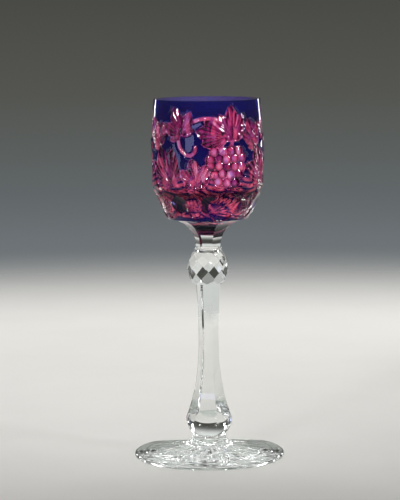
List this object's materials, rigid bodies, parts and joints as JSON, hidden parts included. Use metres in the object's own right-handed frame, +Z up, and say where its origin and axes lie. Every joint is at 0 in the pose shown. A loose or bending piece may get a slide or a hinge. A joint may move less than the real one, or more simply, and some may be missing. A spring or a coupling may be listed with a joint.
{
  "type": "cordial glass",
  "caption": "Small stemmed cordial glass: carved cobalt and ruby cased bowl with a fluted base, faceted knop, panel-cut baluster stem and star-cut foot.",
  "frame": {"origin": "middle of the foot, on the surface that the glass stands on", "axes": "+Z up along the stem to the rim, -Y towards the viewer"},
  "size_m": [0.0532, 0.0532, 0.127],
  "materials": {
    "clear_crystal": "polished cut crystal",
    "cobalt_glass": "polished transparent cobalt blue",
    "ruby_glass": "transparent gold ruby, satin where it is carved"
  },
  "bodies": {
    "root": {"foot": "clear_crystal", "foot_button": "clear_crystal", "stem": "clear_crystal", "knop": "clear_crystal", "neck_collar": "clear_crystal", "crystal_casing": "clear_crystal", "cobalt_layer": "cobalt_glass", "ruby_lining": "ruby_glass"}
  },
  "joints": []
}
